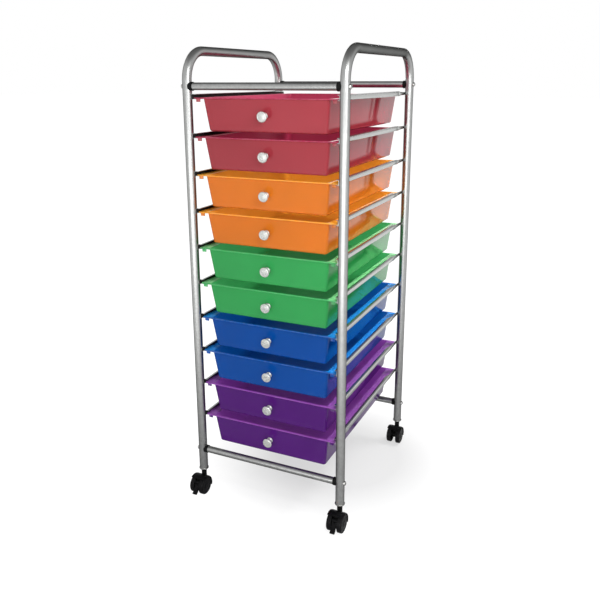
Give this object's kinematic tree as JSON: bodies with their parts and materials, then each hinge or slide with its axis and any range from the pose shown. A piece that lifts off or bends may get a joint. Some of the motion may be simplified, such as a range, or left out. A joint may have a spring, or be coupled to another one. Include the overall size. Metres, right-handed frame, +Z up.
{
  "type": "rolling drawer cart",
  "caption": "Narrow rolling storage cart: bent silver tube side frames with push handles carry shallow coloured sliding drawers with round knobs, on swivel casters with brakes at the front.",
  "frame": {"origin": "on the floor, midway between the axes of the four legs", "axes": "+Z up, -Y to the front where the knobs are, +X to the right seen from the front"},
  "size_m": [0.3544, 0.4376, 0.934],
  "materials": {
    "frame_paint": "satin silver paint",
    "rail_steel": "bright silver paint",
    "bright_steel": "bright plated steel",
    "black_plastic": "fine-grained black moulding",
    "wheel_plastic": "smooth black moulding",
    "knob_silver": "pearl silver moulding",
    "tray_red": "glossy tinted moulding",
    "tray_orange": "glossy tinted moulding",
    "tray_green": "glossy tinted moulding",
    "tray_blue": "glossy tinted moulding",
    "tray_purple": "glossy tinted moulding"
  },
  "bodies": {
    "frame": {"side_frame_left": "frame_paint", "side_frame_right": "frame_paint", "rails_left": "rail_steel", "rails_right": "rail_steel", "crossbar_top_front": "frame_paint", "crossbar_top_back": "frame_paint", "crossbar_bottom_front": "frame_paint", "crossbar_bottom_back": "frame_paint", "saddle_caps": "black_plastic", "frame_screws": "bright_steel", "leg_sockets": "bright_steel", "caster_stems": "bright_steel"},
    "drawer_01": {"drawer_01": "tray_red", "knob_01": "knob_silver"},
    "drawer_02": {"drawer_02": "tray_red", "knob_02": "knob_silver"},
    "drawer_03": {"drawer_03": "tray_orange", "knob_03": "knob_silver"},
    "drawer_04": {"drawer_04": "tray_orange", "knob_04": "knob_silver"},
    "drawer_05": {"drawer_05": "tray_green", "knob_05": "knob_silver"},
    "drawer_06": {"drawer_06": "tray_green", "knob_06": "knob_silver"},
    "drawer_07": {"drawer_07": "tray_blue", "knob_07": "knob_silver"},
    "drawer_08": {"drawer_08": "tray_blue", "knob_08": "knob_silver"},
    "drawer_09": {"drawer_09": "tray_purple", "knob_09": "knob_silver"},
    "drawer_10": {"drawer_10": "tray_purple", "knob_10": "knob_silver"},
    "caster_wheel_front_left_outer": {"caster_wheel_front_left_outer": "wheel_plastic"},
    "caster_wheel_front_left_inner": {"caster_wheel_front_left_inner": "wheel_plastic"},
    "brake_lever_front_left": {"brake_lever_front_left": "black_plastic"},
    "caster_front_left": {"caster_housing_front_left": "black_plastic", "caster_axle_front_left": "bright_steel", "brake_pin_front_left": "bright_steel"},
    "caster_wheel_front_right_outer": {"caster_wheel_front_right_outer": "wheel_plastic"},
    "caster_wheel_front_right_inner": {"caster_wheel_front_right_inner": "wheel_plastic"},
    "brake_lever_front_right": {"brake_lever_front_right": "black_plastic"},
    "caster_front_right": {"caster_housing_front_right": "black_plastic", "caster_axle_front_right": "bright_steel", "brake_pin_front_right": "bright_steel"},
    "caster_wheel_back_left_outer": {"caster_wheel_back_left_outer": "wheel_plastic"},
    "caster_wheel_back_left_inner": {"caster_wheel_back_left_inner": "wheel_plastic"},
    "caster_back_left": {"caster_housing_back_left": "black_plastic", "caster_axle_back_left": "bright_steel"},
    "caster_wheel_back_right_outer": {"caster_wheel_back_right_outer": "wheel_plastic"},
    "caster_wheel_back_right_inner": {"caster_wheel_back_right_inner": "wheel_plastic"},
    "caster_back_right": {"caster_housing_back_right": "black_plastic", "caster_axle_back_right": "bright_steel"}
  },
  "joints": [
    {"name": "drawer_01_slide", "type": "slide", "parent": "frame", "child": "drawer_01", "axis": [0, -1, 0], "range_m": [0, 0.29]},
    {"name": "drawer_02_slide", "type": "slide", "parent": "frame", "child": "drawer_02", "axis": [0, -1, 0], "range_m": [0, 0.29]},
    {"name": "drawer_03_slide", "type": "slide", "parent": "frame", "child": "drawer_03", "axis": [0, -1, 0], "range_m": [0, 0.29]},
    {"name": "drawer_04_slide", "type": "slide", "parent": "frame", "child": "drawer_04", "axis": [0, -1, 0], "range_m": [0, 0.29]},
    {"name": "drawer_05_slide", "type": "slide", "parent": "frame", "child": "drawer_05", "axis": [0, -1, 0], "range_m": [0, 0.29]},
    {"name": "drawer_06_slide", "type": "slide", "parent": "frame", "child": "drawer_06", "axis": [0, -1, 0], "range_m": [0, 0.29]},
    {"name": "drawer_07_slide", "type": "slide", "parent": "frame", "child": "drawer_07", "axis": [0, -1, 0], "range_m": [0, 0.29]},
    {"name": "drawer_08_slide", "type": "slide", "parent": "frame", "child": "drawer_08", "axis": [0, -1, 0], "range_m": [0, 0.29]},
    {"name": "drawer_09_slide", "type": "slide", "parent": "frame", "child": "drawer_09", "axis": [0, -1, 0], "range_m": [0, 0.29]},
    {"name": "drawer_10_slide", "type": "slide", "parent": "frame", "child": "drawer_10", "axis": [0, -1, 0], "range_m": [0, 0.29]},
    {"name": "caster_front_left_swivel", "type": "hinge", "parent": "frame", "child": "caster_front_left", "pos_m": [-0.16, -0.1925, 0.04], "axis": [0, 0, 1], "continuous": true},
    {"name": "caster_wheel_front_left_outer_spin", "type": "hinge", "parent": "caster_front_left", "child": "caster_wheel_front_left_outer", "pos_m": [-0.16, -0.2085, 0.019], "axis": [1, 0, 0], "continuous": true},
    {"name": "caster_wheel_front_left_inner_spin", "type": "hinge", "parent": "caster_front_left", "child": "caster_wheel_front_left_inner", "pos_m": [-0.16, -0.2085, 0.019], "axis": [1, 0, 0], "continuous": true},
    {"name": "brake_lever_front_left_lift", "type": "hinge", "parent": "caster_front_left", "child": "brake_lever_front_left", "pos_m": [-0.16, -0.21853, 0.02803], "axis": [-1, 0, 0], "range_deg": [0, 20]},
    {"name": "caster_front_right_swivel", "type": "hinge", "parent": "frame", "child": "caster_front_right", "pos_m": [0.16, -0.1925, 0.04], "axis": [0, 0, 1], "continuous": true},
    {"name": "caster_wheel_front_right_outer_spin", "type": "hinge", "parent": "caster_front_right", "child": "caster_wheel_front_right_outer", "pos_m": [0.16, -0.2085, 0.019], "axis": [1, 0, 0], "continuous": true},
    {"name": "caster_wheel_front_right_inner_spin", "type": "hinge", "parent": "caster_front_right", "child": "caster_wheel_front_right_inner", "pos_m": [0.16, -0.2085, 0.019], "axis": [1, 0, 0], "continuous": true},
    {"name": "brake_lever_front_right_lift", "type": "hinge", "parent": "caster_front_right", "child": "brake_lever_front_right", "pos_m": [0.16, -0.21853, 0.02803], "axis": [-1, 0, 0], "range_deg": [0, 20]},
    {"name": "caster_back_left_swivel", "type": "hinge", "parent": "frame", "child": "caster_back_left", "pos_m": [-0.16, 0.1925, 0.04], "axis": [0, 0, 1], "continuous": true},
    {"name": "caster_wheel_back_left_outer_spin", "type": "hinge", "parent": "caster_back_left", "child": "caster_wheel_back_left_outer", "pos_m": [-0.16, 0.1765, 0.019], "axis": [1, 0, 0], "continuous": true},
    {"name": "caster_wheel_back_left_inner_spin", "type": "hinge", "parent": "caster_back_left", "child": "caster_wheel_back_left_inner", "pos_m": [-0.16, 0.1765, 0.019], "axis": [1, 0, 0], "continuous": true},
    {"name": "caster_back_right_swivel", "type": "hinge", "parent": "frame", "child": "caster_back_right", "pos_m": [0.16, 0.1925, 0.04], "axis": [0, 0, 1], "continuous": true},
    {"name": "caster_wheel_back_right_outer_spin", "type": "hinge", "parent": "caster_back_right", "child": "caster_wheel_back_right_outer", "pos_m": [0.16, 0.1765, 0.019], "axis": [1, 0, 0], "continuous": true},
    {"name": "caster_wheel_back_right_inner_spin", "type": "hinge", "parent": "caster_back_right", "child": "caster_wheel_back_right_inner", "pos_m": [0.16, 0.1765, 0.019], "axis": [1, 0, 0], "continuous": true}
  ]
}
